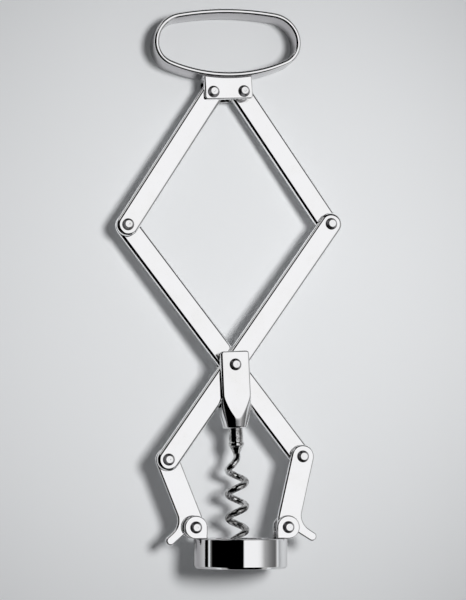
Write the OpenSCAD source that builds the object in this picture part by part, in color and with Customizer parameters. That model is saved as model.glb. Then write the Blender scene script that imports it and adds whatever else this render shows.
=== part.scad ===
// Compound lever corkscrew. A ring sits on the bottle's neck, and a riveted linkage of claws,
// crossed bars and upper links joins it to a loop handle, so that the worm is drawn up through
// the ring. The tool lies on its back: +Y runs along it from the ring to the handle, and +Z is
// its front. The origin is the centre of the ring's open mouth. All sizes are in millimetres.

/* [Linkage] */
// Length of an upper link between its rivets
upper_link_len = 61.8; // [61:0.1:62.5]
// Length of a cross bar from the centre rivet up to its outer rivet
upper_arm_len = 67.6; // [67:0.1:68.5]
// Length of a cross bar from the centre rivet down to its lower rivet
lower_arm_len = 44.4; // [44:0.1:45]
// Length of a claw between its rivets
claw_len = 27.8; // [27.4:0.1:28.4]
// Distance between the two rivets of the handle's bracket
bracket_pin_gap = 12; // [11.5:0.1:12.5]
// Distance of each ear's rivet from the tool's axis
ear_pin_x = 18; // [17.8:0.1:18.5]
// Height of the ear rivets above the ring's mouth
ear_pin_y = 15.6; // [15.6:0.1:16.5]

/* [Pose in which it is stored] */
// Lean of the left claw away from the tool's axis, in degrees
claw_lean_left = 22; // [21:0.1:23]
// Lean of the right claw away from the tool's axis, in degrees
claw_lean_right = 12.8; // [12:0.1:13.5]
// Turn of the handle against the ring, in degrees
handle_tilt = 3; // [2:0.1:4]
// Lean of the spindle's top to the left, in degrees
spindle_lean = 2.6; // [2:0.1:3]

/* [Bars and claws] */
// Width of the links and the cross bars
bar_w = 8.8; // [8.4:0.1:8.9]
// Thickness of the links and the cross bars
bar_t = 3; // [2.8:0.1:3]
// Width of a claw above its foot
claw_w = 9; // [8.6:0.1:9.2]
// Width of a claw where it turns on the ear's rivet
claw_foot_w = 7.8; // [7.4:0.1:8]
// Thickness of a claw
claw_t = 2.4; // [2.2:0.1:2.4]
// Distance from the ear's rivet to the middle of the claw's rounded tail
tail_reach = 10.4; // [9.8:0.1:10.8]
// Width of the claw's tail
tail_w = 3.7; // [3.4:0.1:4]
// Radius of the hollow between the claw and its tail
tail_fillet = 6; // [4:0.5:7]

/* [Rivets] */
// Diameter of a rivet's shank
rivet_d = 2.6; // [2.4:0.1:2.8]
// Diameter of a rivet's head at its foot
head_d = 4.6; // [4.4:0.1:4.8]
// Diameter of the flat on top of a rivet's head
head_top_d = 2.9; // [2.6:0.1:3.2]
// Height of a rivet's head
head_h = 2.1; // [1.6:0.1:2.2]

/* [Neck ring and ears] */
// Outer diameter of the ring
ring_d = 36; // [35.6:0.1:36.2]
// Height of the ring
ring_h = 11.3; // [11:0.1:11.4]
// Diameter of the bore that drops over the bottle's lip
lip_bore_d = 31; // [30:0.1:31.4]
// Diameter of the hole in the ring's top, which the cork is drawn through
cork_hole_d = 25; // [24.6:0.1:26]
// Thickness of the ring's top ledge
ledge_t = 2; // [1.8:0.1:2.2]
// Radius of an ear around its rivet
ear_r = 4.5; // [4.4:0.1:4.6]
// Thickness of one cheek of an ear
ear_cheek_t = 1.6; // [1.5:0.1:1.8]

/* [Spindle and worm] */
// Side of the square spindle block
block_side = 11.4; // [11.2:0.1:11.6]
// Height of the block above the centre rivet
block_top = 5.2; // [5:0.1:5.4]
// Length of the block below the centre rivet
block_drop = 24.4; // [24:0.1:24.8]
// Diameter of the ferrule under the block
ferrule_d = 5.4; // [5.2:0.1:5.6]
// Length of the ferrule down to its tapered nose
ferrule_len = 6.6; // [6.4:0.1:7]
// Length of the ferrule's tapered nose
nose_len = 3; // [2.8:0.1:3.5]
// Outer diameter of the worm
worm_d = 9.4; // [9:0.1:9.6]
// Diameter of the worm's wire
wire_d = 2.6; // [2.3:0.1:2.7]
// Rise of the worm in one turn
worm_pitch = 9.2; // [9:0.1:9.4]
// Turns of the worm
worm_turns = 3.35; // [3.2:0.05:3.35]
// Lean of the worm against the spindle block, in degrees
worm_lean = 2.2; // [0:0.1:2.4]

/* [Handle] */
// Outer width of the handle's loop
loop_w = 58.2; // [57.4:0.2:58.8]
// Outer height of the handle's loop
loop_h = 27; // [26.4:0.1:27.2]
// Radius of the upper half of the loop's ends
loop_top_r = 12; // [11:0.1:12.4]
// Radius of the lower half of the loop's ends
loop_low_r = 9.5; // [9:0.1:10.5]
// Thickness of the loop's band
band_t = 2.1; // [2:0.1:2.3]
// Depth of the loop's band from front to back
band_depth = 12; // [11.6:0.2:13]
// Height of the loop's centre above the bracket's rivets
loop_rise = 19; // [18.8:0.1:19.2]
// Distance of the loop's centre to the right of the bracket's middle
loop_shift = 0.6; // [0:0.1:1.2]
// Turn of the loop to the right on its bracket, in degrees
loop_turn = 0.8; // [0:0.2:3]
// Width of the bracket
bracket_w = 19; // [18.6:0.1:19.4]
// Thickness of one cheek of the bracket
bracket_cheek_t = 1.7; // [1.6:0.1:1.8]

/* [Hidden] */
$fn = 64;
cut = 1;               // how far a cutter runs past the face it cuts
layer_gap = 0.3;       // space between the front and the back layer of bars
slot_play = 0.1;       // play of the bars between two cheeks
head_play = 0.1;       // play under a rivet head that a bar turns against
pin_play = 0.05;       // radial play of a shank in a bar that turns on it
low_loop_play = 1.1;   // radial play of the left claw on its ear rivet, which closes the lower loop
top_loop_play = 0.3;   // radial play of the right link on its bracket rivet, which closes the upper loop
rivet_r = rivet_d / 2;
turn_r = rivet_r + pin_play;
ring_r = ring_d / 2;
spacer_r = 3.2;
half_gap = layer_gap / 2;
bar_face = half_gap + bar_t;
claw_face = half_gap + claw_t;
slot_half = bar_face + slot_play;
ear_slot_half = claw_face + slot_play;
ear_face = ear_slot_half + ear_cheek_t;
bracket_face = slot_half + bracket_cheek_t;
block_half = block_side / 2;
slot_drop = 16.2;      // floor of the block's slot, which stops the bars from opening further
cone_neck = 20.2;      // depth below the rivet at which the cone is as wide as the block
cone_slope = 0.265;    // growth of the cone's radius for each millimetre upwards
corner_r = 1.2;
claw_shoulder = 3;     // height above the foot's rivet at which a claw has its full width
tail_swing = 97.5;     // angle at the ear's rivet from the claw to the middle of its tail's end
tail_slant = 110;      // direction of the tail against the claw
crown_y = 4.6;         // underside of the bracket's crown above its rivets

// Unit vector at an angle from +Y towards +X
function heading(a) = [sin(a), cos(a)];
function angle_of(v) = atan2(v.x, v.y);
// The upper meeting point of a circle about p and a circle about q, p being on the left
function meet(p, q, rp, rq) =
    let (d = norm(q - p), u = (q - p) / d, a = (rp * rp - rq * rq + d * d) / (2 * d))
    p + a * u + sqrt(rp * rp - a * a) * [-u.y, u.x];

ear_pin_l = [-ear_pin_x, ear_pin_y];
ear_pin_r = [ear_pin_x, ear_pin_y];
low_pin_l = ear_pin_l + claw_len * heading(-claw_lean_left);
low_pin_r = ear_pin_r + claw_len * heading(claw_lean_right);
centre_pin = meet(low_pin_l, low_pin_r, lower_arm_len, lower_arm_len);
front_way = (centre_pin - low_pin_l) / lower_arm_len;
back_way = (centre_pin - low_pin_r) / lower_arm_len;
outer_pin_r = centre_pin + upper_arm_len * front_way;
outer_pin_l = centre_pin + upper_arm_len * back_way;
half_bracket = bracket_pin_gap / 2 * [cos(handle_tilt), sin(handle_tilt)];
bracket_mid = meet(outer_pin_l + half_bracket, outer_pin_r - half_bracket,
    upper_link_len, upper_link_len);
bracket_pin_l = bracket_mid - half_bracket;
bracket_pin_r = bracket_mid + half_bracket;

// Puts the origin at a pin, with +Y turned by an angle towards +X
module at_pin(p, a = 0) translate([p.x, p.y, 0]) rotate([0, 0, -a]) children();
// Stands a shape that is drawn about +Z on the tool's axis, with its +Z along +Y
module on_axis() rotate([-90, 0, 0]) children();
// A flat piece between two heights
module slab(z_low, z_high) translate([0, 0, z_low]) linear_extrude(z_high - z_low) children();
module hole(r, z_half = 12) translate([0, 0, -z_half]) cylinder(r = r, h = 2 * z_half);

// A straight bar with round ends, from the origin along +Y
module bar_outline(length, w) {
    circle(d = w);
    translate([0, length]) circle(d = w);
    translate([-w / 2, 0]) square([w, length]);
}

// A rivet along Z: the shank between two heads whose undersides are at z_back and z_front
module rivet(z_back, z_front) {
    translate([0, 0, z_back]) cylinder(r = rivet_r, h = z_front - z_back);
    translate([0, 0, z_front]) cylinder(d1 = head_d, d2 = head_top_d, h = head_h);
    translate([0, 0, z_back - head_h]) cylinder(d1 = head_top_d, d2 = head_d, h = head_h);
}

module spacer(z_low, z_high) {
    difference() {
        slab(z_low, z_high) circle(r = spacer_r);
        hole(rivet_r);
    }
}

// The ring: a bore over the bottle's lip, under a ledge with the cork's hole
module neck_ring() color("silver") on_axis() rotate_extrude()
    polygon([
        [lip_bore_d / 2, 0], [ring_r - 0.6, 0], [ring_r, 0.8], [ring_r, ring_h],
        [cork_hole_d / 2, ring_h], [cork_hole_d / 2, ring_h - ledge_t],
        [lip_bore_d / 2, ring_h - ledge_t]]);

// Two cheeks on the ring's top edge, drawn for the right-hand ear
module ear() {
    for (z = [-ear_face, ear_slot_half]) difference() {
        slab(z, z + ear_cheek_t) {
            translate(ear_pin_r) circle(r = ear_r);
            translate([ear_pin_x - ear_r, ring_h]) square([ear_r, ear_pin_y - ring_h]);
        }
        translate([ear_pin_x, ear_pin_y, 0]) hole(rivet_r);
        on_axis() translate([0, 0, -cut]) cylinder(r = ring_r, h = ring_h + cut);
    }
}
module ear_right() color("gainsboro") ear();
module ear_left() color("gainsboro") mirror([1, 0, 0]) ear();

module ear_rivets() color("dimgray")
    for (p = [ear_pin_l, ear_pin_r]) at_pin(p) rivet(-ear_face, ear_face);

// The claws fill half of each ear's slot, and a spacer fills the other half
module ear_spacers() color("gray") {
    at_pin(ear_pin_l) spacer(half_gap - slot_play, ear_slot_half);
    at_pin(ear_pin_r) spacer(-ear_slot_half, -half_gap + slot_play);
}

// Direction at the left of +Y, as seen from a claw's foot
function to_left(a) = [-sin(a), cos(a)];
tail_end = tail_reach * to_left(tail_swing);
tail_root = tail_end - tail_reach * to_left(tail_slant);

module claw_blank() {
    circle(d = claw_foot_w);
    translate([0, claw_len]) circle(d = claw_w);
    polygon([[-claw_foot_w / 2, 0], [claw_foot_w / 2, 0], [claw_w / 2, claw_shoulder],
        [claw_w / 2, claw_len], [-claw_w / 2, claw_len], [-claw_w / 2, claw_shoulder]]);
    translate(tail_end) circle(d = tail_w);
    translate(tail_root) rotate(tail_slant) bar_outline(tail_reach, tail_w);
}

// A claw from its foot along +Y, with its tail towards -X. The hollow above the tail is rounded,
// and below the tail the foot stays round, so that it clears the ring when the claw swings out.
module claw_outline() {
    claw_blank();
    intersection() {
        offset(r = -tail_fillet) offset(delta = tail_fillet) claw_blank();
        translate(tail_root) rotate(tail_slant) translate([0, -claw_len])
            square([2 * claw_len, 3 * claw_len]);
    }
}

module claw(z_low, foot_hole_r) {
    difference() {
        slab(z_low, z_low + claw_t) claw_outline();
        hole(foot_hole_r);
        translate([0, claw_len, 0]) hole(turn_r);
    }
}
module claw_left() color("whitesmoke")
    at_pin(ear_pin_l, -claw_lean_left) claw(-claw_face, rivet_r + low_loop_play);
module claw_right() color("whitesmoke")
    at_pin(ear_pin_r, claw_lean_right) mirror([1, 0, 0]) claw(half_gap, turn_r);

module lower_rivet_left() color("dimgray")
    at_pin(low_pin_l) rivet(-claw_face - head_play, bar_face);
module lower_rivet_right() color("dimgray")
    at_pin(low_pin_r) rivet(-bar_face, claw_face + head_play);

// A cross bar from its lower rivet, which it holds fast, past the centre to its outer rivet
module cross_bar(z_low) {
    difference() {
        slab(z_low, z_low + bar_t) bar_outline(lower_arm_len + upper_arm_len, bar_w);
        hole(rivet_r);
        translate([0, lower_arm_len, 0]) hole(turn_r);
        translate([0, lower_arm_len + upper_arm_len, 0]) hole(rivet_r);
    }
}
module cross_bar_front() color("white")
    at_pin(low_pin_l, angle_of(front_way)) cross_bar(half_gap);
module cross_bar_back() color("white")
    at_pin(low_pin_r, angle_of(back_way)) cross_bar(-bar_face);

module at_spindle() at_pin(centre_pin, -spindle_lean) children();

// A square bar, slotted for the cross bars and turned to a cone below
module spindle_block() color("silver") at_spindle() {
    cone_low_r = block_half - cone_slope * (block_drop - cone_neck);
    cone_top_r = block_half + cone_slope * (block_top + cone_neck);
    difference() {
        intersection() {
            slab(-block_half, block_half) {
                translate([-block_half, -block_drop])
                    square([block_side, block_drop + block_top - corner_r]);
                translate([-block_half + corner_r, 0])
                    square([block_side - 2 * corner_r, block_top]);
                for (x = [-1, 1]) translate([x * (block_half - corner_r), block_top - corner_r])
                    circle(r = corner_r);
            }
            translate([0, -block_drop, 0]) on_axis()
                cylinder(r1 = cone_low_r, r2 = cone_top_r, h = block_drop + block_top);
        }
        translate([-block_side, -slot_drop, -slot_half])
            cube([2 * block_side, slot_drop + block_top + cut, 2 * slot_half]);
        hole(rivet_r);
    }
}

module centre_rivet() color("dimgray") at_spindle() rivet(-block_half, block_half);

// A turned ferrule under the block, with a collar and a nose that narrows to the wire
module ferrule() color("gray") at_spindle()
    translate([0, -block_drop - ferrule_len - nose_len, 0]) on_axis() rotate_extrude()
    polygon([
        [0, 0], [wire_d / 2, 0], [ferrule_d / 2 - 0.3, nose_len - 0.6],
        [ferrule_d / 2 + 0.25, nose_len], [ferrule_d / 2 + 0.25, nose_len + 1],
        [ferrule_d / 2, nose_len + 1.3], [ferrule_d / 2, nose_len + ferrule_len],
        [0, nose_len + ferrule_len]]);

worm_top = -block_drop - ferrule_len - nose_len;
worm_r = (worm_d - wire_d) / 2;
worm_first = -40;      // angle about the axis at which the wire leaves the nose
worm_settle = 130;     // degrees of turn over which the wire reaches its full radius
worm_lead = 2.8;       // how much further than its pitch the wire falls while it does so
worm_point = 150;      // degrees of turn over which the end narrows to its point
worm_step = 15;
wire_sides = 10;
worm_sweep = worm_turns * 360;
function smooth(t) = let (c = min(1, max(0, t))) c * c * (3 - 2 * c);
function worm_radius(s) = worm_r * smooth(s / worm_settle);
function worm_point_at(s) = let (a = worm_first + s, r = worm_radius(s))
    [-r * sin(a), -worm_pitch * s / 360 - worm_lead * smooth(s / worm_settle), r * cos(a)];
function wire_radius(s) = wire_d / 2 * max(0.12, min(1, sqrt((worm_sweep - s) / worm_point)));
function unit(v) = v / norm(v);
// One ring of points around the wire at a turn of s degrees
function wire_ring(s) = let (
    way = unit(worm_point_at(s + 1) - worm_point_at(s)),
    out = [-sin(worm_first + s), 0, cos(worm_first + s)],
    n1 = unit(out - (out * way) * way),
    n2 = cross(way, n1))
    [for (k = [0 : wire_sides - 1]) let (b = 360 * k / wire_sides)
        worm_point_at(s) + wire_radius(s) * (cos(b) * n1 + sin(b) * n2)];

// A right-handed open helix that starts at the nose's end and ends in a point
module worm() color("gray") at_spindle() translate([0, worm_top, 0]) rotate(-worm_lean) {
    steps = round(worm_sweep / worm_step);
    rings = [for (i = [0 : steps]) wire_ring(i * worm_sweep / steps)];
    points = [for (ring = rings) for (p = ring) p];
    sides = [for (i = [0 : steps - 1]) for (k = [0 : wire_sides - 1])
        let (a = i * wire_sides, b = a + wire_sides, n = (k + 1) % wire_sides)
        each [[a + k, b + k, b + n], [a + k, b + n, a + n]]];
    first_cap = [for (k = [0 : wire_sides - 1]) k];
    last_cap = [for (k = [wire_sides - 1 : -1 : 0]) steps * wire_sides + k];
    polyhedron(points, concat([first_cap, last_cap], sides), convexity = 8);
}

module outer_rivet_left() color("dimgray")
    at_pin(outer_pin_l) rivet(-bar_face, bar_face + head_play);
module outer_rivet_right() color("dimgray")
    at_pin(outer_pin_r) rivet(-bar_face - head_play, bar_face);

// An upper link from its outer rivet along +Y to the bracket
module upper_link(z_low, top_hole_r) {
    difference() {
        slab(z_low, z_low + bar_t) bar_outline(upper_link_len, bar_w);
        hole(turn_r);
        translate([0, upper_link_len, 0]) hole(top_hole_r);
    }
}
module upper_link_left() color("white")
    at_pin(outer_pin_l, angle_of(bracket_pin_l - outer_pin_l)) upper_link(half_gap, turn_r);
module upper_link_right() color("white")
    at_pin(outer_pin_r, angle_of(bracket_pin_r - outer_pin_r))
    upper_link(-bar_face, rivet_r + top_loop_play);

module at_bracket() at_pin(bracket_mid, -handle_tilt) children();

// The upper half of an oval: a long arc that meets the arcs of both ends smoothly, drawn in
module half_oval(end_r, inset) {
    a = loop_w / 2 - end_r;
    b = loop_h / 2;
    c = (a * a - pow(b - end_r, 2)) / (2 * (b - end_r));
    big_r = b + c;
    meet_x = big_r * a / (big_r - end_r);
    intersection() {
        union() {
            intersection() {
                translate([0, -c]) circle(r = big_r - inset, $fn = 256);
                translate([-meet_x, 0]) square([2 * meet_x, b]);
            }
            for (x = [-a, a]) translate([x, 0]) circle(r = end_r - inset);
        }
        translate([-loop_w, 0]) square([2 * loop_w, loop_h]);
    }
}

// An oval whose upper half is the fuller one, drawn in by a distance
module oval(inset = 0) {
    half_oval(loop_top_r, inset);
    mirror([0, 1]) half_oval(loop_low_r, inset);
}

module loop_solid(inset, depth) translate([loop_shift, loop_rise, 0]) rotate(-loop_turn)
    slab(-depth / 2, depth / 2) oval(inset);

module handle_loop() color("gainsboro") at_bracket() difference() {
    loop_solid(0, band_depth);
    loop_solid(band_t, band_depth + 2 * cut);
}

// Two cheeks and a crown, which is fitted to the loop's underside
module bracket() color("whitesmoke") at_bracket() {
    foot_y = -2.9;
    top_y = 8;
    difference() {
        slab(-bracket_face, bracket_face) {
            translate([-bracket_w / 2, foot_y + corner_r])
                square([bracket_w, top_y - foot_y - corner_r]);
            translate([-bracket_w / 2 + corner_r, foot_y])
                square([bracket_w - 2 * corner_r, corner_r + cut]);
            for (x = [-1, 1]) translate([x * (bracket_w / 2 - corner_r), foot_y + corner_r])
                circle(r = corner_r);
        }
        translate([-bracket_w, foot_y - cut, -slot_half])
            cube([2 * bracket_w, crown_y - foot_y + cut, 2 * slot_half]);
        loop_solid(0, 2 * band_depth);
        for (x = [-1, 1]) translate([x * bracket_pin_gap / 2, 0, 0]) hole(rivet_r);
    }
}

module bracket_rivets() color("dimgray")
    for (p = [bracket_pin_l, bracket_pin_r]) at_pin(p) rivet(-bracket_face, bracket_face);

// Each upper link fills half of the bracket's slot, and a spacer fills the other half
module bracket_spacers() color("gray") {
    at_pin(bracket_pin_l) spacer(-slot_half, half_gap - slot_play);
    at_pin(bracket_pin_r) spacer(-half_gap + slot_play, slot_half);
}

neck_ring();
ear_left();
ear_right();
ear_rivets();
ear_spacers();
claw_left();
claw_right();
lower_rivet_left();
lower_rivet_right();
cross_bar_front();
cross_bar_back();
spindle_block();
centre_rivet();
ferrule();
worm();
outer_rivet_left();
outer_rivet_right();
upper_link_left();
upper_link_right();
bracket();
bracket_rivets();
bracket_spacers();
handle_loop();
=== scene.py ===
import math
import bmesh
import bpy
from mathutils import Matrix, Vector
from mathutils.geometry import tessellate_polygon


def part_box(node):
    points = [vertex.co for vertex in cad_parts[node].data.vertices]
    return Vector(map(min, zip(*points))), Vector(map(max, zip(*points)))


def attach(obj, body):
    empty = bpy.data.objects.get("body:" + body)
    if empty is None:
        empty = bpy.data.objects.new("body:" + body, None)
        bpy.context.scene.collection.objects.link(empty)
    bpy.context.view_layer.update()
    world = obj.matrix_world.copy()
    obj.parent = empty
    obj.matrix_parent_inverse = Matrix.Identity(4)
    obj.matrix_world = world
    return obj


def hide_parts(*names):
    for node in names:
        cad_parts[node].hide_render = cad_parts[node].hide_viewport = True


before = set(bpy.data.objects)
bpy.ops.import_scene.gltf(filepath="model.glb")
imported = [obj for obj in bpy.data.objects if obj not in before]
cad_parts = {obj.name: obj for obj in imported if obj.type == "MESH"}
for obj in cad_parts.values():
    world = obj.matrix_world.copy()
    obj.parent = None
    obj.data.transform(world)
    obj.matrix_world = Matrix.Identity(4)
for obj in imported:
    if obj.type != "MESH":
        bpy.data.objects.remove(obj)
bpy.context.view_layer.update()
scene = bpy.context.scene
millimetre = 0.001
toMetres = Matrix.Scale(millimetre, 4)    # shapes are drawn in millimetres and scaled when their mesh is made


def addNode(tree, kind, inputs=None, **settings):
    node = tree.nodes.new(kind)
    for name, value in settings.items():
        setattr(node, name, value)
    for key, value in (inputs or {}).items():
        if isinstance(value, bpy.types.NodeSocket):
            tree.links.new(value, node.inputs[key])
        else:
            node.inputs[key].default_value = value
    return node


def mathOf(tree, operation, a, b=0.0, c=0.0):
    return addNode(tree, "ShaderNodeMath", {0: a, 1: b, 2: c}, operation=operation).outputs[0]


def rampOf(tree, value, low, high, toLow=0.0, toHigh=1.0, shape="SMOOTHSTEP"):
    return addNode(tree, "ShaderNodeMapRange", {
        "Value": value, "From Min": low, "From Max": high, "To Min": toLow, "To Max": toHigh},
        interpolation_type=shape).outputs[0]


def mixOf(tree, share, a, b, **settings):
    return addNode(tree, "ShaderNodeMix", {0: share, 6: a, 7: b}, data_type="RGBA", **settings).outputs[2]


def noiseOf(tree, place, scale, detail, roughness=0.5):
    return addNode(tree, "ShaderNodeTexNoise", {
        "Vector": place, "Scale": scale, "Detail": detail, "Roughness": roughness}).outputs[0]


def tinted(tone, tint):
    return (*(tone * part for part in tint), 1.0)


def addSockets(tree, inputs, outputs):
    for name, kind, default in inputs:
        socket = tree.interface.new_socket(name, in_out="INPUT", socket_type="NodeSocket" + kind)
        if default is not None:
            socket.default_value = default
    for name, kind in outputs:
        tree.interface.new_socket(name, in_out="OUTPUT", socket_type="NodeSocket" + kind)
    return tree.nodes.new("NodeGroupInput"), tree.nodes.new("NodeGroupOutput")


def addTreeSockets(tree, values):
    floats = [(name, "Float", value) for name, value in values.items()]
    return addSockets(tree, [("Geometry", "Geometry", None), *floats, ("Material", "Material", None)],
                      [("Geometry", "Geometry")])


cameraSetup = dict(target=(-2.895, 103.07, 0.0), swing=-11.08, rise=-4.83, distance=842.0, lens=130.5)


def makeCamera():
    s = cameraSetup
    swing, rise = math.radians(s["swing"]), math.radians(s["rise"])
    back = Vector((math.sin(swing) * math.cos(rise), math.sin(rise), math.cos(swing) * math.cos(rise)))
    right = Vector((math.cos(swing), 0.0, -math.sin(swing)))
    up = back.cross(right)
    turn = Matrix((right, up, back)).transposed().to_4x4()
    data = bpy.data.cameras.new("camera")
    data.lens = s["lens"]
    camera = bpy.data.objects.new("camera", data)
    place = (Vector(s["target"]) + back * s["distance"]) * millimetre
    camera.matrix_world = Matrix.Translation(place) @ turn
    scene.collection.objects.link(camera)
    scene.camera = camera


# One soft lamp high on the right, a bright panel that the polished flats mirror, and a dark side on the
# left that gives them their black edges
lampSetup = dict(middle=(0.000, 0.105), lean=11.5, nod=3.5, distance=0.80, radius=0.10, power=22.0, cone=38.5)
# Tones round the tool's long axis: degrees from straight up, towards the right, and how bright it is there
roomTones = [(-180, 0.30), (-93, 0.10), (-88, 0.0), (-3.5, 0.0), (-2, 0.93), (31, 0.92), (38, 0.85),
             (44, 0.66), (48, 0.48), (52, 0.36), (56, 0.32), (65, 0.22), (75, 0.15), (88, 0.10), (103, 0.09),
             (180, 0.30)]
roomSetup = dict(ambient=0.155, ambientTint=(1.0, 1.01, 1.03), toneTint=(1.0, 1.0, 1.01),
                 backdrop=(0.70, 0.72, 0.735, 1.0), endFrom=0.30, endFull=0.54, panelFrom=0.968,
                 panelFull=0.986, panelTone=0.75, stripTone=0.42, stripHalf=0.10, stripLeft=0.25,
                 stripDimFull=-0.95, stripDimFrom=-0.60)
# Soft panels beyond the tool's two ends: where they stand
endPanels = [(-0.64, 0.64, 0.42), (0.68, -0.68, 0.26)]
cardSetup = dict(x=-0.098, low=-0.04, high=0.0, near=-0.08, far=0.26)


def makeLamp():
    s = lampSetup
    data = bpy.data.lights.new("lamp", "SPOT")
    data.energy = s["power"]
    data.shadow_soft_size = s["radius"]
    data.spot_size = math.radians(s["cone"])
    data.spot_blend = 1.0
    lamp = bpy.data.objects.new("lamp", data)
    lean, nod = math.radians(s["lean"]), math.radians(s["nod"])
    away = Vector((math.sin(lean), math.sin(nod), math.cos(lean))).normalized()
    lamp.location = Vector((*s["middle"], 0.0)) + away * s["distance"]
    lamp.rotation_euler = away.to_track_quat("Z", "Y").to_euler()
    lamp.visible_glossy = False      # the polished faces mirror the room's panel instead
    scene.collection.objects.link(lamp)


def makeRoom():
    world = bpy.data.worlds.new("room")
    world.use_nodes = True
    world.cycles.sampling_method = "NONE"
    tree = world.node_tree
    tree.nodes.clear()
    s = roomSetup
    way = addNode(tree, "ShaderNodeTexCoord").outputs["Generated"]
    x, y, z = addNode(tree, "ShaderNodeSeparateXYZ", {0: way}).outputs
    angle = mathOf(tree, "ARCTAN2", x, z)
    share = mathOf(tree, "MULTIPLY_ADD", angle, 0.5 / math.pi, 0.5)
    ramp = addNode(tree, "ShaderNodeValToRGB", {0: share})
    stops = ramp.color_ramp.elements
    while len(stops) < len(roomTones):
        stops.new(0.5)
    for stop, (degrees, tone) in zip(stops, roomTones):
        stop.position = degrees / 360 + 0.5
        stop.color = tinted(tone, s["toneTint"])
    ends = rampOf(tree, mathOf(tree, "ABSOLUTE", y), s["endFrom"], s["endFull"])
    glow = 0.0
    for panel in endPanels:
        near = addNode(tree, "ShaderNodeVectorMath", {0: way, 1: panel}, operation="DOT_PRODUCT")
        panelGlow = rampOf(tree, near.outputs["Value"], s["panelFrom"], s["panelFull"], 0.0, s["panelTone"])
        glow = mathOf(tree, "MAXIMUM", glow, panelGlow)
    # A grey strip at the horizon, fainter on the left
    half = s["stripHalf"]
    strip = rampOf(tree, mathOf(tree, "ABSOLUTE", z), half * 0.5, half, s["stripTone"], 0.0)
    dim = rampOf(tree, x, s["stripDimFull"], s["stripDimFrom"], s["stripLeft"], 1.0, "LINEAR")
    strip = mathOf(tree, "MULTIPLY", strip, dim)
    sides = mixOf(tree, ends, ramp.outputs[0], glow)
    mirrored = mixOf(tree, 1.0, sides, strip, blend_type="LIGHTEN")
    rays = addNode(tree, "ShaderNodeLightPath").outputs
    glossy = mixOf(tree, rays["Is Glossy Ray"], tinted(s["ambient"], s["ambientTint"]), mirrored)
    seen = mixOf(tree, rays["Is Camera Ray"], glossy, s["backdrop"])
    light = addNode(tree, "ShaderNodeBackground", {"Color": seen})
    addNode(tree, "ShaderNodeOutputWorld", {"Surface": light.outputs[0]})
    scene.world = world
    scene.view_settings.view_transform = "Standard"


# The ring's back and the loop's back touch the table, which glows far out, past the lamp's cone
tableSetup = dict(halfSize=4.0, tone=0.80, mottle=0.03, mottleScale=9.0, coolness=0.015, roughness=0.9,
                  sheen=0.1, middle=(0.0, 0.103, -0.015), paleFrom=0.14, paleTo=0.42)


def makeTable():
    s = tableSetup
    ringLow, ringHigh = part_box("neck_ring")
    loopLow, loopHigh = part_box("handle_loop")
    slope = (loopLow.z - ringLow.z) / (loopHigh.y - ringHigh.y)
    h = s["halfSize"]
    sheet = [(-h, -h), (h, -h), (h, h), (-h, h)]
    corners = [(x, y, ringLow.z + slope * (y - ringHigh.y)) for x, y in sheet]
    mesh = bpy.data.meshes.new("table")
    mesh.from_pydata(corners, [], [(0, 1, 2, 3)])
    table = bpy.data.objects.new("table", mesh)
    scene.collection.objects.link(table)
    material = bpy.data.materials.new("table")
    material.use_nodes = True
    tree = material.node_tree
    shader = tree.nodes["Principled BSDF"]
    place = addNode(tree, "ShaderNodeTexCoord").outputs["Object"]
    far = addNode(tree, "ShaderNodeVectorMath", {0: place, 1: s["middle"]}, operation="DISTANCE")
    pale = rampOf(tree, far.outputs["Value"], s["paleFrom"], s["paleTo"])
    mottle = noiseOf(tree, place, s["mottleScale"], 4.0)
    tone = mathOf(tree, "MULTIPLY_ADD", mottle, s["mottle"], s["tone"] - s["mottle"] / 2)
    tone = mathOf(tree, "MULTIPLY", tone, mathOf(tree, "SUBTRACT", 1.0, pale))
    red = mathOf(tree, "MULTIPLY", tone, 1.0 - s["coolness"])
    blue = mathOf(tree, "MULTIPLY", tone, 1.0 + s["coolness"])
    tint = addNode(tree, "ShaderNodeCombineColor", {0: red, 1: tone, 2: blue})
    tree.links.new(tint.outputs[0], shader.inputs["Base Color"])
    shader.inputs["Roughness"].default_value = s["roughness"]
    shader.inputs["Specular IOR Level"].default_value = s["sheen"]
    shader.inputs["Emission Color"].default_value = roomSetup["backdrop"]
    tree.links.new(pale, shader.inputs["Emission Strength"])
    mesh.materials.append(material)


def makeCard():
    # A low black card beside the tool, which only the polished faces see
    s = cardSetup
    mesh = bpy.data.meshes.new("card")
    edge = [("near", "low"), ("far", "low"), ("far", "high"), ("near", "high")]
    mesh.from_pydata([(s["x"], s[y], s[z]) for y, z in edge], [], [(0, 1, 2, 3)])
    card = bpy.data.objects.new("card", mesh)
    for ray in ("camera", "diffuse", "shadow", "transmission"):
        setattr(card, "visible_" + ray, False)
    scene.collection.objects.link(card)
    material = bpy.data.materials.new("card")
    material.use_nodes = True
    shader = material.node_tree.nodes["Principled BSDF"]
    shader.inputs["Base Color"].default_value = (0.0, 0.0, 0.0, 1.0)
    shader.inputs["Specular IOR Level"].default_value = 0.0
    mesh.materials.append(material)


makeCamera()
makeLamp()
makeRoom()
makeTable()
makeCard()
print("camera, light and table are in place")


marksSetup = dict(smudgeScale=85.0, smudgeFrom=0.42, smudgeTo=0.75, scratchFrom=0.60, scratchTo=0.72,
                  scratchDepth=-0.04, scratchRoughness=0.06, waveScale=60.0,
                  scratchLines=[(0.65, (2600.0, 90.0, 600.0)), (-0.75, (1900.0, 70.0, 500.0))])


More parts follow.
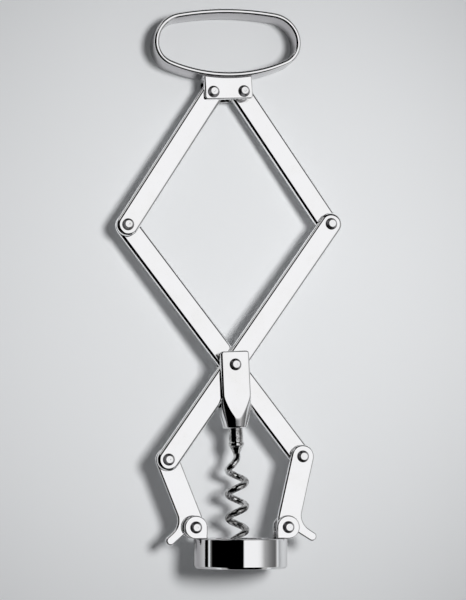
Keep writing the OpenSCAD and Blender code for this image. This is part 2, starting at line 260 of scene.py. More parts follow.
def makeMarks():
    # Handling marks of plated steel: soft smudges, hairline scratches in two directions, and the slight
    # waviness that polishing leaves
    s = marksSetup
    tree = bpy.data.node_groups.new("handlingMarks", "ShaderNodeTree")
    given, result = addSockets(tree, [
        ("Coordinates", "Vector", None), ("Roughness", "Float", 0.05), ("Smudges", "Float", 0.05),
        ("Scratches", "Float", 0.5), ("Waviness", "Float", 0.5)],
        [("Roughness", "Float"), ("Height", "Float"), ("Smudge Mask", "Float")])
    place = given.outputs["Coordinates"]
    mask = rampOf(tree, noiseOf(tree, place, s["smudgeScale"], 5.0, 0.6), s["smudgeFrom"], s["smudgeTo"])
    lines = []
    for turn, stretch in s["scratchLines"]:
        turned = addNode(tree, "ShaderNodeMapping", {
            "Vector": place, "Rotation": (0.0, 0.0, turn), "Scale": stretch})
        noise = noiseOf(tree, turned.outputs[0], 1.0, 2.0)
        lines.append(rampOf(tree, noise, s["scratchFrom"], s["scratchTo"], shape="LINEAR"))
    scratch = mathOf(tree, "MULTIPLY", mathOf(tree, "MAXIMUM", *lines), given.outputs["Scratches"])
    wave = mathOf(tree, "MULTIPLY", noiseOf(tree, place, s["waveScale"], 1.0), given.outputs["Waviness"])
    height = mathOf(tree, "MULTIPLY_ADD", scratch, s["scratchDepth"], wave)
    rough = mathOf(tree, "MULTIPLY_ADD", mask, given.outputs["Smudges"], given.outputs["Roughness"])
    rough = mathOf(tree, "MULTIPLY_ADD", scratch, s["scratchRoughness"], rough)
    for name, socket in [("Roughness", rough), ("Height", height), ("Smudge Mask", mask)]:
        tree.links.new(socket, result.inputs[name])
    return tree


marks = makeMarks()
# The flank values paint shade: a darker base colour on the sides of the ring, the loop and the rivet heads
finishes = {
    "barChrome": dict(tone=0.955, smudged=0.925, roughness=0.05, smudges=0.05, scratches=0.8, waviness=0.6),
    "clawChrome": dict(tone=0.955, smudged=0.93, roughness=0.06, smudges=0.06, scratches=0.8, waviness=0.8),
    "ringChrome": dict(tone=0.93, smudged=0.89, roughness=0.03, smudges=0.03, scratches=0.5, waviness=0.3,
                       flankShadeTone=0.42, flankRoughness=0.05, flankFrom=0.25, flankTo=0.60),
    "lugChrome": dict(tone=0.96, smudged=0.93, roughness=0.06, smudges=0.05, scratches=0.7, waviness=0.6),
    "loopChrome": dict(tone=0.93, smudged=0.88, roughness=0.04, smudges=0.05, scratches=0.6, waviness=0.6,
                       flankShadeTone=0.45, flankRoughness=0.10, flankFrom=0.20, flankTo=0.55),
    "rivetSteel": dict(tone=0.93, smudged=0.84, roughness=0.08, smudges=0.08, scratches=0.8, waviness=0.6,
                       flankShadeTone=0.26, flankRoughness=0.26, flankFrom=0.72, flankTo=0.95),
    "blockChrome": dict(tone=0.95, smudged=0.92, roughness=0.05, smudges=0.05, scratches=0.8, waviness=0.6),
}
# The flank tint colours that painted shade on the sides
chromeTints = dict(plain=(1.0, 1.0, 1.005), smudged=(1.0, 0.997, 0.99), flank=(1.0, 0.97, 1.0))
bumpSetup = dict(strength=0.6, chromeDepth=0.00004, wireDepth=0.00006)


def addBump(tree, height, depth):
    bump = addNode(tree, "ShaderNodeBump", {
        "Height": height, "Strength": bumpSetup["strength"], "Distance": bumpSetup[depth]})
    tree.links.new(bump.outputs[0], tree.nodes["Principled BSDF"].inputs["Normal"])


def makeChrome(name, s):
    material = bpy.data.materials.new(name)
    material.use_nodes = True
    tree = material.node_tree
    shader = tree.nodes["Principled BSDF"]
    shader.inputs["Metallic"].default_value = 1.0
    place = addNode(tree, "ShaderNodeTexCoord").outputs["Object"]
    worn = addNode(tree, "ShaderNodeGroup", node_tree=marks)
    tree.links.new(place, worn.inputs["Coordinates"])
    for key in ("roughness", "smudges", "scratches", "waviness"):
        worn.inputs[key.capitalize()].default_value = s[key]
    colour = mixOf(tree, worn.outputs["Smudge Mask"], tinted(s["tone"], chromeTints["plain"]),
                   tinted(s["smudged"], chromeTints["smudged"]))
    rough = worn.outputs["Roughness"]
    if "flankShadeTone" in s:
        # Painted shade: the flanks get a darker base colour than the faces that look to the front and the
        # back, standing in for the shade and dark reflections on the sides, and a little more roughness
        normal = addNode(tree, "ShaderNodeTexCoord").outputs["Normal"]
        facing = mathOf(tree, "ABSOLUTE", addNode(tree, "ShaderNodeSeparateXYZ", {0: normal}).outputs[2])
        flank = rampOf(tree, facing, s["flankFrom"], s["flankTo"], 1.0, 0.0)
        colour = mixOf(tree, flank, colour, tinted(s["flankShadeTone"], chromeTints["flank"]))
        rough = mathOf(tree, "MULTIPLY_ADD", flank, s["flankRoughness"], rough)
    tree.links.new(colour, shader.inputs["Base Color"])
    tree.links.new(rough, shader.inputs["Roughness"])
    addBump(tree, worn.outputs["Height"], "chromeDepth")
    return material


wireSetup = dict(dark=0.30, darkTint=(1.0, 0.98, 0.96), bright=0.80, roughness=0.09, duller=0.05,
                 speckScale=1100.0, speckShare=0.55, blotchScale=260.0, brightFrom=0.42, brightTo=0.60)


def makeWormSteel():
    # Plated wire that was drawn and coiled: darker, with worn bright specks
    s = wireSetup
    material = bpy.data.materials.new("wormSteel")
    material.use_nodes = True
    tree = material.node_tree
    shader = tree.nodes["Principled BSDF"]
    shader.inputs["Metallic"].default_value = 1.0
    place = addNode(tree, "ShaderNodeTexCoord").outputs["Object"]
    specks = noiseOf(tree, place, s["speckScale"], 4.0, 0.7)
    blotch = mathOf(tree, "MULTIPLY", noiseOf(tree, place, s["blotchScale"], 2.0), 1.0 - s["speckShare"])
    mixed = mathOf(tree, "MULTIPLY_ADD", specks, s["speckShare"], blotch)
    mask = rampOf(tree, mixed, s["brightFrom"], s["brightTo"])
    colour = mixOf(tree, mask, tinted(s["dark"], s["darkTint"]), tinted(s["bright"], (1.0, 1.0, 1.0)))
    tree.links.new(colour, shader.inputs["Base Color"])
    rough = mathOf(tree, "MULTIPLY_ADD", mask, -s["duller"], s["roughness"] + s["duller"])
    tree.links.new(rough, shader.inputs["Roughness"])
    addBump(tree, mixed, "wireDepth")
    return material


materials = {name: makeChrome(name, s) for name, s in finishes.items()}
materials["wormSteel"] = makeWormSteel()
print("finishes are made")


def finishPiece(piece, finish, body, slot, *nodes):
    if finish:
        piece.data.materials.clear()
        piece.data.materials.append(materials[finish])
    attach(piece, body)
    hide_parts(*nodes)
    print(piece.name, "has", len(piece.data.polygons), "faces and rides on", body)


def pieceOf(name, bm, place):
    bm.transform(toMetres @ place)
    mesh = bpy.data.meshes.new(name)
    bm.to_mesh(mesh)
    bm.free()
    piece = bpy.data.objects.new(name, mesh)
    scene.collection.objects.link(piece)
    return piece


def boxMm(node):
    return [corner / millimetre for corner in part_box(node)]


def pinOf(node, side=0):
    # The middle of a rivet, or of the left or the right one of a pair
    low, high = boxMm(node)
    if side == 0:
        return ((low + high) / 2).to_2d()
    r = rivetSetup["Foot Radius"]
    return Vector((low.x + r, low.y + r)) if side < 0 else Vector((high.x - r, high.y - r))


def turnAt(pin, degrees=0.0):
    # Origin at a pin, with +Y turned clockwise
    return Matrix.Translation((pin.x, pin.y, 0.0)) @ Matrix.Rotation(math.radians(-degrees), 4, "Z")


def turnFrom(pin, other):
    return turnAt(pin, math.degrees(math.atan2(other.x - pin.x, other.y - pin.y)))


def softCorners(corners, step):
    # A polygon whose corners, given as x, y and radius, become arcs with a point every few degrees
    points = []
    for i, (x, y, r) in enumerate(corners):
        here = Vector((x, y))
        before = (Vector(corners[i - 1][:2]) - here).normalized()
        after = (Vector(corners[(i + 1) % len(corners)][:2]) - here).normalized()
        if r <= 0:
            points.append(here)
            continue
        half = before.angle(after) / 2
        middle = here + (before + after).normalized() * r / math.sin(half)
        first = here + before * r / math.tan(half) - middle
        turn = math.pi - 2 * half
        if before.x * after.y - before.y * after.x > 0:
            turn = -turn
        count = max(2, round(math.degrees(abs(turn)) / step))
        for k in range(count + 1):
            points.append(middle + Matrix.Rotation(turn * k / count, 2) @ first)
    return [p for i, p in enumerate(points) if (p - points[i - 1]).length > 1e-4]


def circleLoop(x, y, r, count=40):
    # Clockwise, because it bounds a hole
    return [Vector((x + r * math.cos(a), y - r * math.sin(a))) for a in
            (2 * math.pi * k / count for k in range(count))]


def insetLoop(loop, depth):
    moved = []
    for i, p in enumerate(loop):
        a = (p - loop[i - 1]).normalized()
        b = (loop[(i + 1) % len(loop)] - p).normalized()
        left = Vector((-a.y - b.y, a.x + b.x)).normalized()
        moved.append(p + left * depth / max(0.5, left.dot(Vector((-a.y, a.x)))))
    return moved


def roundedSlab(bm, outline, holes, low, high, edge, steps=4, hem=0.10, holeEdge=0.12):
    # A plate between two heights whose edges are quarter rounds. A narrow flat hem beside each round keeps
    # the plate's faces mirror flat.
    turns = [math.pi / 2 * k / steps for k in range(steps + 1)]
    rings = []
    for loop, e in [(outline, edge)] + [(hole, holeEdge) for hole in holes]:
        arc = [(e * (1 - math.sin(a)), e * (1 - math.cos(a))) for a in turns]
        rows = [(e + hem, high)] + [(inset, high - drop) for inset, drop in arc]
        rows += [(inset, low + drop) for inset, drop in reversed(arc)] + [(e + hem, low)]
        rings.append([[bm.verts.new((*p, z)) for p in insetLoop(loop, inset)] for inset, z in rows])
    for ring in rings:
        for upper, lower in zip(ring, ring[1:]):
            for k in range(len(upper)):
                n = (k + 1) % len(upper)
                bm.faces.new((upper[k], lower[k], lower[n], upper[n])).smooth = True
    for row, facing in [(0, 1.0), (-1, -1.0)]:
        loops = [ring[row] for ring in rings]
        flat = [v for loop in loops for v in loop]
        for a, b, c in tessellate_polygon([[v.co for v in loop] for loop in loops]):
            p, q, r = flat[a], flat[b], flat[c]
            up = (q.co - p.co).cross(r.co - p.co).z
            bm.faces.new((p, q, r) if up * facing > 0 else (p, r, q)).smooth = False


def lathe(bm, profile, count):
    # Turns a closed profile of radius and height about +Y
    rings = []
    for k in range(count):
        a = 2 * math.pi * k / count
        rings.append([bm.verts.new((r * math.sin(a), y, r * math.cos(a))) for r, y in profile])
    for k in range(count):
        here, there = rings[k], rings[(k + 1) % count]
        for i in range(len(profile)):
            n = (i + 1) % len(profile)
            bm.faces.new((here[i], there[i], there[n], here[n])).smooth = True
    bmesh.ops.remove_doubles(bm, verts=bm.verts, dist=1e-4)
    bmesh.ops.dissolve_degenerate(bm, edges=bm.edges, dist=1e-5)
    bmesh.ops.recalc_face_normals(bm, faces=bm.faces)


def meshFromTree(name, source, tree, settings):
    # Runs a Geometry Nodes tree on a mesh and keeps the result as a plain mesh
    host = bpy.data.objects.new(name + "Host", source)
    scene.collection.objects.link(host)
    modifier = host.modifiers.new("nodes", "NODES")
    modifier.node_group = tree
    ids = {item.name: item.identifier for item in tree.interface.items_tree if item.in_out == "INPUT"}
    for label, value in settings.items():
        modifier[ids[label]] = value
    bpy.context.view_layer.update()
    evaluated = host.evaluated_get(bpy.context.evaluated_depsgraph_get())
    mesh = bpy.data.meshes.new_from_object(evaluated)
    host.modifiers.remove(modifier)
    bpy.data.objects.remove(host)
    mesh.name = name
    piece = bpy.data.objects.new(name, mesh)
    scene.collection.objects.link(piece)
    return piece


def cutAway(piece, cutter):
    # Takes the cutter's shape out of the piece
    modifier = piece.modifiers.new("cut", "BOOLEAN")
    modifier.operation = "DIFFERENCE"
    modifier.solver = "EXACT"
    modifier.object = cutter
    bpy.context.view_layer.update()
    evaluated = piece.evaluated_get(bpy.context.evaluated_depsgraph_get())
    mesh = bpy.data.meshes.new_from_object(evaluated)
    piece.modifiers.remove(modifier)
    piece.data = mesh
    bpy.data.objects.remove(cutter)


rivetSetup = {"Foot Radius": 2.3, "Top Radius": 1.45, "Head Height": 2.1, "Shank Radius": 1.3,
              "Dimple Radius": 0.42}
# Rings of a head from its underside to the middle of its top: which radius, what is added to it, and the
# height, which is measured down from the top where it is negative or zero
headRings = [("None", 0.0, 0.001), ("Foot Radius", -0.06, 0.001), ("Foot Radius", 0.0, 0.07),
             ("Foot Radius", -0.05, 0.16), ("Top Radius", 0.12, -0.24), ("Top Radius", 0.07, -0.10),
             ("Top Radius", -0.02, -0.02), ("Top Radius", -0.14, 0.0), ("Dimple Radius", 0.1, 0.0),
             ("Dimple Radius", 0.0, -0.02), ("None", 0.0, -0.05)]
washerRings = [("Hole Radius", 0.0, 0.0001), ("Rim Radius", -0.15, 0.0001), ("Rim Radius", 0.0, 0.15),
               ("Rim Radius", 0.0, -0.15), ("Rim Radius", -0.15, 0.0), ("Hole Radius", 0.0, 0.0),
               ("Hole Radius", 0.0, 0.0001)]


# Spacers fill the half of a slot that its bar leaves
washerSetup = {"Hole Radius": 1.3, "Rim Radius": 3.2, "Thickness": 2.6}
spacerGap = 0.05
turnedSetup = dict(segments=48, weld=0.0005, creaseFrom=0.6)


def makeTurnedRows(name, values, rings, heightName, withShank):
    # Sets a turned part on every point of a mesh, facing up on points in front and down on points behind.
    # With a shank, each edge of the mesh becomes the pin between two heads.
    segments = turnedSetup["segments"]
    tree = bpy.data.node_groups.new(name, "GeometryNodeTree")
    given, result = addTreeSockets(tree, values)
    grid = addNode(tree, "GeometryNodeMeshGrid", {
        "Size X": 1.0, "Size Y": 1.0, "Vertices X": len(rings), "Vertices Y": segments + 1})
    index = addNode(tree, "GeometryNodeInputIndex").outputs[0]
    row = mathOf(tree, "FLOOR", mathOf(tree, "DIVIDE", mathOf(tree, "ADD", index, 0.5), segments + 1.0))
    column = mathOf(tree, "SUBTRACT", index, mathOf(tree, "MULTIPLY", row, segments + 1.0))
    angle = mathOf(tree, "MULTIPLY", column, -2 * math.pi / segments)
    radius = addNode(tree, "GeometryNodeIndexSwitch", data_type="FLOAT")
    height = addNode(tree, "GeometryNodeIndexSwitch", data_type="FLOAT")
    for switch in (radius, height):
        while len(switch.index_switch_items) < len(rings):
            switch.index_switch_items.new()
        tree.links.new(row, switch.inputs[0])
    for i, (base, extra, level) in enumerate(rings):
        if base == "None":
            radius.inputs[i + 1].default_value = extra
        else:
            tree.links.new(mathOf(tree, "ADD", given.outputs[base], extra), radius.inputs[i + 1])
        if level > 0:
            height.inputs[i + 1].default_value = level
        else:
            tree.links.new(mathOf(tree, "ADD", given.outputs[heightName], level), height.inputs[i + 1])
    around = addNode(tree, "ShaderNodeCombineXYZ", {
        0: mathOf(tree, "MULTIPLY", radius.outputs[0], mathOf(tree, "COSINE", angle)),
        1: mathOf(tree, "MULTIPLY", radius.outputs[0], mathOf(tree, "SINE", angle)), 2: height.outputs[0]})
    turned = addNode(tree, "GeometryNodeSetPosition", {
        "Geometry": grid.outputs[0], "Position": around.outputs[0]})
    closed = addNode(tree, "GeometryNodeMergeByDistance", {
        "Geometry": turned.outputs[0], "Distance": turnedSetup["weld"]})
    spot = addNode(tree, "ShaderNodeSeparateXYZ", {0: addNode(tree, "GeometryNodeInputPosition").outputs[0]})
    behind = mathOf(tree, "LESS_THAN", spot.outputs[2], 0.0)
    facing = addNode(tree, "FunctionNodeEulerToRotation", {
        0: addNode(tree, "ShaderNodeCombineXYZ", {0: mathOf(tree, "MULTIPLY", behind, math.pi)}).outputs[0]})
    placed = addNode(tree, "GeometryNodeInstanceOnPoints", {
        "Points": given.outputs["Geometry"], "Instance": closed.outputs[0], "Rotation": facing.outputs[0]})
    joined = addNode(tree, "GeometryNodeJoinGeometry")
    tree.links.new(placed.outputs[0], joined.inputs[0])
    if withShank:
        wire = addNode(tree, "GeometryNodeMeshToCurve", {0: given.outputs["Geometry"]})
        rim = addNode(tree, "GeometryNodeCurvePrimitiveCircle", {
            "Resolution": segments, "Radius": given.outputs["Shank Radius"]})
        shank = addNode(tree, "GeometryNodeCurveToMesh", {
            "Curve": wire.outputs[0], "Profile Curve": rim.outputs[0], "Fill Caps": True})
        tree.links.new(shank.outputs[0], joined.inputs[0])
    real = addNode(tree, "GeometryNodeRealizeInstances", {0: joined.outputs[0]})
    sized = addNode(tree, "GeometryNodeTransform", {"Geometry": real.outputs[0], "Scale": [millimetre] * 3})
    bend = addNode(tree, "GeometryNodeInputMeshEdgeAngle").outputs[0]
    bent = mathOf(tree, "GREATER_THAN", bend, turnedSetup["creaseFrom"])
    smooth = addNode(tree, "GeometryNodeSetShadeSmooth", {"Geometry": sized.outputs[0]}, domain="FACE")
    crisp = addNode(tree, "GeometryNodeSetShadeSmooth", {
        "Geometry": smooth.outputs[0], "Selection": bent, "Shade Smooth": False}, domain="EDGE")
    real = addNode(tree, "GeometryNodeRealizeInstances", {0: crisp.outputs[0]})
    dressed = addNode(tree, "GeometryNodeSetMaterial", {
        "Geometry": real.outputs[0], "Material": given.outputs["Material"]})
    tree.links.new(dressed.outputs[0], result.inputs[0])
    return tree


rivetTree = makeTurnedRows("rivetRows", rivetSetup, headRings, "Head Height", True)
washerTree = makeTurnedRows("washerRows", washerSetup, washerRings, "Thickness", False)

earLeft, earRight = pinOf("ear_rivets", -1), pinOf("ear_rivets", 1)
lowerLeft, lowerRight = pinOf("lower_rivet_left"), pinOf("lower_rivet_right")
centre = pinOf("centre_rivet")
outerLeft, outerRight = pinOf("outer_rivet_left"), pinOf("outer_rivet_right")
bracketLeft, bracketRight = pinOf("bracket_rivets", -1), pinOf("bracket_rivets", 1)


def makeRivets(name, body, rivets):
    # One edge for each rivet, from the face under its back head to the face under its front head
    points = []
    for node, pins in rivets:
        low, high = boxMm(node)
        for pin in pins:
            points.append((*pin, low.z + rivetSetup["Head Height"]))
            points.append((*pin, high.z - rivetSetup["Head Height"]))
    source = bpy.data.meshes.new(name + "Pins")
    source.from_pydata(points, [(i, i + 1) for i in range(0, len(points), 2)], [])
    piece = meshFromTree(name, source, rivetTree, {**rivetSetup, "Material": materials["rivetSteel"]})
    finishPiece(piece, None, body, "rivet_steel", *[node for node, pins in rivets])


makeRivets("earRivets", "neck_ring", [("ear_rivets", [earLeft, earRight])])
makeRivets("backBarRivets", "cross_bar_back", [
    ("lower_rivet_right", [lowerRight]), ("outer_rivet_left", [outerLeft])])
makeRivets("frontBarRivets", "cross_bar_front", [
    ("lower_rivet_left", [lowerLeft]), ("outer_rivet_right", [outerRight])])
makeRivets("centreRivet", "spindle", [("centre_rivet", [centre])])
makeRivets("bracketRivets", "handle", [("bracket_rivets", [bracketLeft, bracketRight])])


def makeSpacers(name, body, node, pins):
    # A pin's side is 1 where its spacer is in front and -1 where it is behind
    source = bpy.data.meshes.new(name + "Pins")
    source.from_pydata([(*pin, side * spacerGap) for pin, side in pins], [], [])
    piece = meshFromTree(name, source, washerTree, {
        **washerSetup, "Thickness": boxMm(node)[1].z - spacerGap, "Material": materials["rivetSteel"]})
    finishPiece(piece, None, body, "rivet_steel", node)


makeSpacers("earSpacers", "neck_ring", "ear_spacers", [(earLeft, 1), (earRight, -1)])
makeSpacers("bracketSpacers", "handle", "bracket_spacers", [(bracketLeft, -1), (bracketRight, 1)])


barSetup = dict(width=8.8, edge=1.3, edgeSteps=8, pivotHole=1.35, fixedHole=1.31, looseHole=1.6)
arcStep = 5.0    # degrees between the points of a rounded corner


def makeBar(name, body, node, start, end, holes):
    s = barSetup
    low, high = boxMm(node)
    half, length = s["width"] / 2, (end - start).length
    corners = [(half, -half, half), (half, length + half, half), (-half, length + half, half),
               (-half, -half, half)]
    bm = bmesh.new()
    roundedSlab(bm, softCorners(corners, arcStep), [circleLoop(0.0, y, r) for y, r in holes], low.z, high.z,
                s["edge"], s["edgeSteps"])
    piece = pieceOf(name, bm, turnFrom(start, end))
    finishPiece(piece, "barChrome", body, "bar_chrome", node)


fixed, turning, loose = (barSetup[key] for key in ("fixedHole", "pivotHole", "looseHole"))
for name, body, low, top in [("crossBarFront", "cross_bar_front", lowerLeft, outerRight),
                             ("crossBarBack", "cross_bar_back", lowerRight, outerLeft)]:
    makeBar(name, body, body, low, top, [
        (0.0, fixed), ((centre - low).length, turning), ((top - low).length, fixed)])
for name, body, low, top, play in [("upperLinkLeft", "upper_link_left", outerLeft, bracketLeft, turning),
                                   ("upperLinkRight", "upper_link_right", outerRight, bracketRight, loose)]:
    makeBar(name, body, body, low, top, [(0.0, turning), ((top - low).length, play)])
print("bars and links are in place")


clawSetup = dict(footHalf=3.9, footSteps=40, half=4.5, shoulder=3.0, edge=0.7, edgeSteps=6, tailReach=10.4,
                 tailSwing=97.5, tailSlant=110.0, tailHalf=1.85, tipRound=0.99, hollow=6.0, looseHole=2.4)


def makeClaw(name, node, foot, top, side, footHole):
    # Drawn with its tail towards -X, and turned over for the right-hand one
    s = clawSetup
    low, high = boxMm(node)
    length = (top - foot).length
    swing, slant = math.radians(s["tailSwing"]), math.radians(s["tailSlant"])
    along = Vector((-math.sin(slant), math.cos(slant)))
    across = Vector((along.y, -along.x))
    tip = s["tailReach"] * Vector((-math.sin(swing), math.cos(swing))) + along * s["tailHalf"]
    upper, lower = tip + across * s["tailHalf"], tip - across * s["tailHalf"]
    if upper.y < lower.y:
        upper, lower = lower, upper
    f, t, rise = s["footHalf"], s["half"], along.y / along.x
    # The foot stays round up to where the underside of the tail meets it
    off = across.dot(lower)
    start = across * off + along * math.sqrt(f * f - off * off)
    first = math.atan2(start.y, start.x) % (2 * math.pi)
    corners = []
    for k in range(s["footSteps"] + 1):
        a = first + (2 * math.pi - first) * k / s["footSteps"]
        corners.append((f * math.cos(a), f * math.sin(a), 0.0))
    tipRadius = s["tailHalf"] * s["tipRound"]
    corners += [(t, s["shoulder"], 0.0), (t, length + t, t), (-t, length + t, t),
                (-t, upper.y + (-t - upper.x) * rise, s["hollow"]), (*upper, tipRadius), (*lower, tipRadius)]
    holes = [circleLoop(0.0, 0.0, footHole), circleLoop(0.0, length, barSetup["pivotHole"])]
    bm = bmesh.new()
    roundedSlab(bm, softCorners(corners, arcStep), holes, low.z, high.z, s["edge"], s["edgeSteps"])
    place = turnFrom(foot, top)
    if side > 0:
        place = place @ Matrix.Scale(-1, 4, (1, 0, 0))
    piece = pieceOf(name, bm, place)
    if side > 0:
        piece.data.flip_normals()
    finishPiece(piece, "clawChrome", node, "claw_chrome", node)


makeClaw("clawLeft", "claw_left", earLeft, lowerLeft, -1, clawSetup["looseHole"])
makeClaw("clawRight", "claw_right", earRight, lowerRight, 1, barSetup["pivotHole"])
print("claws are in place")


ringSetup = dict(bore=15.5, corkHole=12.5, ledge=2.0, chamfer=0.6, chamferExtra=0.2, soft=0.35, softer=0.3,
                 crisp=0.15)
earSetup = dict(radius=4.5, cheek=1.6, edge=0.5, sunk=0.20)
turnedArcStep = 15.0


def hemmed(profile, hem=0.08, longest=0.8):
    # A point just inside both ends of every long side, which keeps the side's mirror image straight
    points = []
    for i, p in enumerate(profile):
        q = profile[(i + 1) % len(profile)]
        points.append(p)
        if (q - p).length > longest:
            way = (q - p).normalized() * hem
            points += [p + way, q - way]
    return points


def makeNeckRing():
    s = ringSetup
    high = boxMm("neck_ring")[1]
    outer, top, floor = high.x, high.y, high.y - s["ledge"]
    corners = [(s["bore"], 0.0, s["soft"]), (outer - s["chamfer"], 0.0, s["crisp"]),
               (outer, s["chamfer"] + s["chamferExtra"], s["softer"]), (outer, top, s["soft"]),
               (s["corkHole"], top, s["soft"]), (s["corkHole"], floor, s["softer"]),
               (s["bore"], floor, s["crisp"])]
    bm = bmesh.new()
    lathe(bm, hemmed(softCorners(corners, turnedArcStep)), 200)
    piece = pieceOf("neckRing", bm, Matrix.Identity(4))
    finishPiece(piece, "ringChrome", "neck_ring", "ring_chrome", "neck_ring")


def makeEar(name, node, pin, side):
    s = earSetup
    high = boxMm(node)[1]
    r = s["radius"]
    ringTop = boxMm("neck_ring")[1].y
    inner = high.z - s["cheek"]
    corners = [(-r, ringTop - pin.y - s["sunk"], 0.0), (0.0, -r, 0.0), (r, -r, r), (r, r, r), (-r, r, r)]
    if side < 0:
        corners = [(-x, y, c) for x, y, c in reversed(corners)]
    outline = softCorners(corners, arcStep)
    bm = bmesh.new()
    for bottom, top in [(inner, high.z), (-high.z, -inner)]:
        roundedSlab(bm, outline, [circleLoop(0.0, 0.0, barSetup["fixedHole"])], bottom, top, s["edge"])
    piece = pieceOf(name, bm, turnAt(pin))
    finishPiece(piece, "lugChrome", "neck_ring", "lug_chrome", node)


makeNeckRing()
makeEar("earLeft", "ear_left", earLeft, -1)
makeEar("earRight", "ear_right", earRight, 1)
print("neck ring and ears are in place")


def slotCutter(wide, bottom, top, half):
    # A sharp-edged block that cuts the slot which the bars swing in
    corners = [Vector(p) for p in [(-wide, bottom), (wide, bottom), (wide, top), (-wide, top)]]
    bm = bmesh.new()
    roundedSlab(bm, corners, [], -half, half, edge=0.02, steps=1, hem=0.01)
    return pieceOf("slotCutter", bm, Matrix.Identity(4))


# A square bar turned to a cone below, slotted for the cross bars. Its section is a power curve, where
# squareness sets the corners and coneSharpness the crease between the flats and the cone.
spindleSetup = dict(half=5.7, top=5.2, drop=24.4, slotDrop=16.2, slotHalf=3.25, holeRadius=1.305,
                    holeReach=9.0, coneNeck=20.2, coneSlope=0.265, topRound=1.2, edge=0.5, squareness=16,
                    coneSharpness=60, lean=2.6, footRows=4, bodyRows=90, crownRows=10, columns=192,
                    creaseFrom=34)
spindlePlace = turnAt(centre, -spindleSetup["lean"])


def makeSpindleBlock():
    s = spindleSetup
    quarter = math.pi / 2
    body, rows, columns = s["top"] - s["topRound"], s["bodyRows"], s["columns"]
    turns = [quarter * k / s["footRows"] for k in range(s["footRows"] + 1)]
    heights = [-s["drop"] + s["edge"] * (1 - math.cos(a)) for a in turns]
    heights += [heights[-1] + (body - heights[-1]) * k / rows for k in range(1, rows + 1)]
    turns = [quarter * k / s["crownRows"] for k in range(1, s["crownRows"] + 1)]
    heights += [body + s["topRound"] * math.sin(a) for a in turns]
    bm = bmesh.new()
    rings = []
    for y in heights:
        up, down = y - body, y + s["drop"]
        rounding = s["topRound"] - math.sqrt(max(0.0, s["topRound"] ** 2 - max(0.0, up) ** 2))
        low = s["top"] - y
        hem = s["edge"] - math.sqrt(max(0.0, s["edge"] ** 2 - max(0.0, s["edge"] - low) ** 2))
        foot = s["edge"] - math.sqrt(max(0.0, s["edge"] ** 2 - max(0.0, s["edge"] - down) ** 2))
        halfX, halfZ = s["half"] - rounding, s["half"] - hem
        cone = s["half"] + s["coneSlope"] * (y + s["coneNeck"]) - foot
        ring = []
        for k in range(columns):
            a = 2 * math.pi * (k + 0.5) / columns
            p = s["squareness"]
            square = ((abs(math.sin(a)) / halfX) ** p + (abs(math.cos(a)) / halfZ) ** p) ** (1 / p)
            q = s["coneSharpness"]
            r = ((square ** q) + (1 / cone) ** q) ** (-1 / q)
            ring.append(bm.verts.new((r * math.sin(a), y, r * math.cos(a))))
        rings.append(ring)
    for lower, upper in zip(rings, rings[1:]):
        for k in range(columns):
            n = (k + 1) % columns
            bm.faces.new((lower[k], lower[n], upper[n], upper[k])).smooth = True
    bm.faces.new(list(reversed(rings[0]))).smooth = False
    bm.faces.new(rings[-1]).smooth = False
    bmesh.ops.recalc_face_normals(bm, faces=bm.faces)
    piece = pieceOf("spindleBlock", bm, Matrix.Identity(4))
    side = 2 * s["half"]
    cutAway(piece, slotCutter(side, -s["slotDrop"], side, s["slotHalf"]))
    r, reach = s["holeRadius"], s["holeReach"]
    bm = bmesh.new()
    lathe(bm, [Vector(p) for p in [(0.0, -reach), (r, -reach), (r, reach), (0.0, reach)]], 40)
    cutAway(piece, pieceOf("holeCutter", bm, Matrix.Rotation(quarter, 4, "X")))
    piece.data.transform(toMetres @ spindlePlace @ toMetres.inverted())
    piece.data.set_sharp_from_angle(angle=math.radians(s["creaseFrom"]))
    finishPiece(piece, "blockChrome", "spindle", "block_chrome", "spindle_block")


ferruleSetup = dict(radius=2.7, length=6.6, nose=3.0, noseIn=0.3, noseDown=0.6, collar=0.25, collarLength=1.0,
                    collarFall=0.3, sunk=0.2, creaseFrom=40)


def makeFerrule():
    s = ferruleSetup
    top = -spindleSetup["drop"]
    low = top - s["length"] - s["nose"]
    r, c = s["radius"], s["radius"] + s["collar"]
    collarLow = top - s["length"]
    collarTop = collarLow + s["collarLength"]
    root = top + s["sunk"]
    # Across, up and the corner's rounding
    corners = [(0.0, low, 0.0), (wormSetup["Wire Radius"], low, 0.1),
               (r - s["noseIn"], collarLow - s["noseDown"], 0.5), (c, collarLow, 0.2), (c, collarTop, 0.15),
               (r, collarTop + s["collarFall"], 0.15), (r, root, 0.0), (0.0, root, 0.0)]
    bm = bmesh.new()
    lathe(bm, hemmed(softCorners(corners, turnedArcStep)), 64)
    piece = pieceOf("ferrule", bm, spindlePlace)
    piece.data.set_sharp_from_angle(angle=math.radians(s["creaseFrom"]))
    finishPiece(piece, "wormSteel", "spindle", "worm_steel", "ferrule")


# Angles are in degrees. The coil opens to its full radius over Settle, and its point tapers over Point.
wormSetup = {"Coil Radius": 3.4, "Wire Radius": 1.3, "Pitch": 9.2, "Sweep": 3.35 * 360, "First Angle": -40.0,
             "Settle": 130.0, "Lead": 2.8, "Point": 150.0}
wormDetail = dict(points=330, around=18, bluntest=0.12, lean=2.2)


